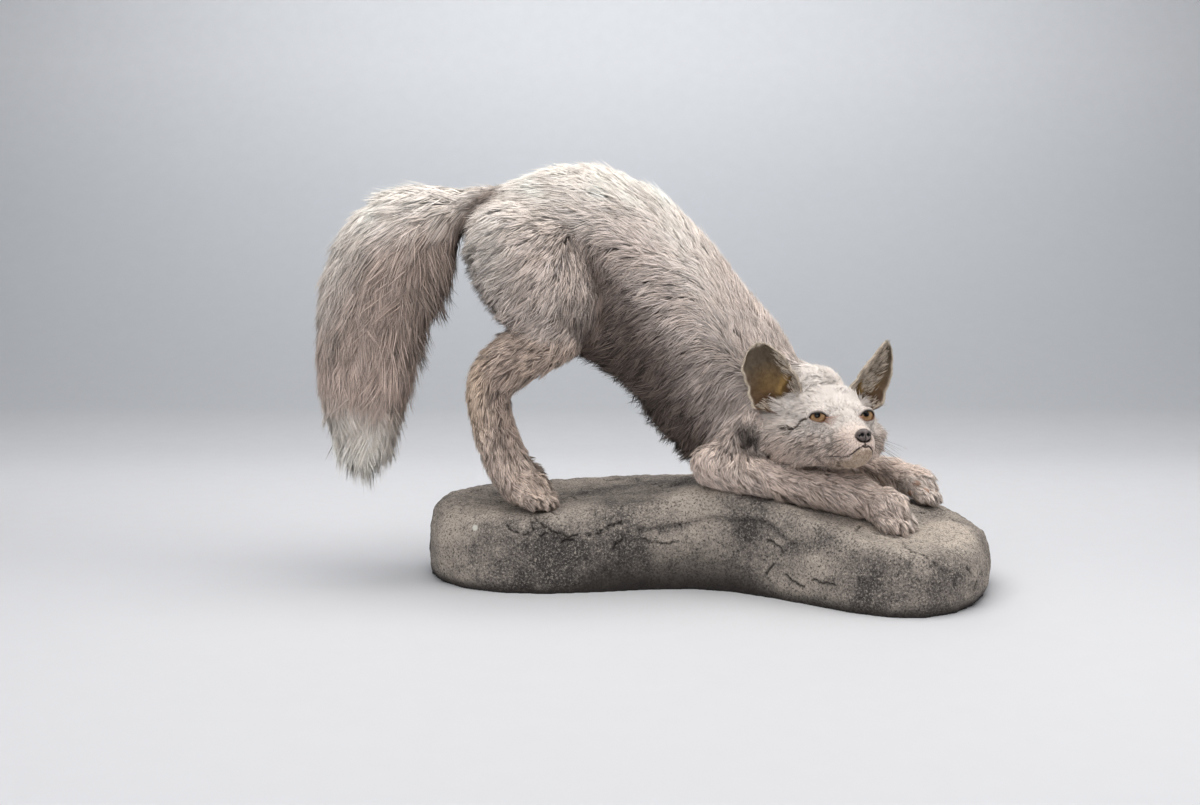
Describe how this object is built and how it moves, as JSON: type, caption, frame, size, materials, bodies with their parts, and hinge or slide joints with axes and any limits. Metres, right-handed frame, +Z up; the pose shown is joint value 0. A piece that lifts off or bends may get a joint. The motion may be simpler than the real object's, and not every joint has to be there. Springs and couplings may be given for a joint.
{
  "type": "taxidermy fox on a rock base",
  "caption": "Life-size mounted pale fox stretching on a low rock base, rump raised, forelegs flat along the rock, brush hanging behind and head turned to the side.",
  "frame": {"origin": "middle of the whole mount's bottom, on the surface that the rock stands on", "axes": "+X from the tail to the forepaws along the body, +Y to the fox's left, +Z up"},
  "size_m": [0.7604, 0.3602, 0.4702],
  "materials": {
    "rock": "matt, fine speckled grain with darker blotches and cracks",
    "coat_fur": "soft matt fur, pale grey beige",
    "face_fur": "short soft fur, cream white",
    "ear_fur": "very short fur, olive brown inside and pale outside",
    "leg_fur": "short fur, beige",
    "tail_fur": "long soft brush, grey beige with a white tip",
    "nose_leather": "fine pebbled leather, satin",
    "eye_glass": "polished glass eye, amber"
  },
  "bodies": {
    "root": {"base_rock": "rock", "head": "face_fur", "nose": "nose_leather", "eye_right": "eye_glass", "eye_left": "eye_glass", "trunk": "coat_fur", "neck": "coat_fur", "tail_root": "tail_fur", "tail_end": "tail_fur", "ear_right": "ear_fur", "thigh_right": "coat_fur", "shank_right": "leg_fur", "metatarsus_right": "leg_fur", "hindfoot_right": "leg_fur", "upper_arm_right": "coat_fur", "forearm_right": "leg_fur", "forepaw_right": "leg_fur", "ear_left": "ear_fur", "thigh_left": "coat_fur", "shank_left": "leg_fur", "metatarsus_left": "leg_fur", "hindfoot_left": "leg_fur", "upper_arm_left": "coat_fur", "forearm_left": "leg_fur", "forepaw_left": "leg_fur"}
  },
  "joints": []
}
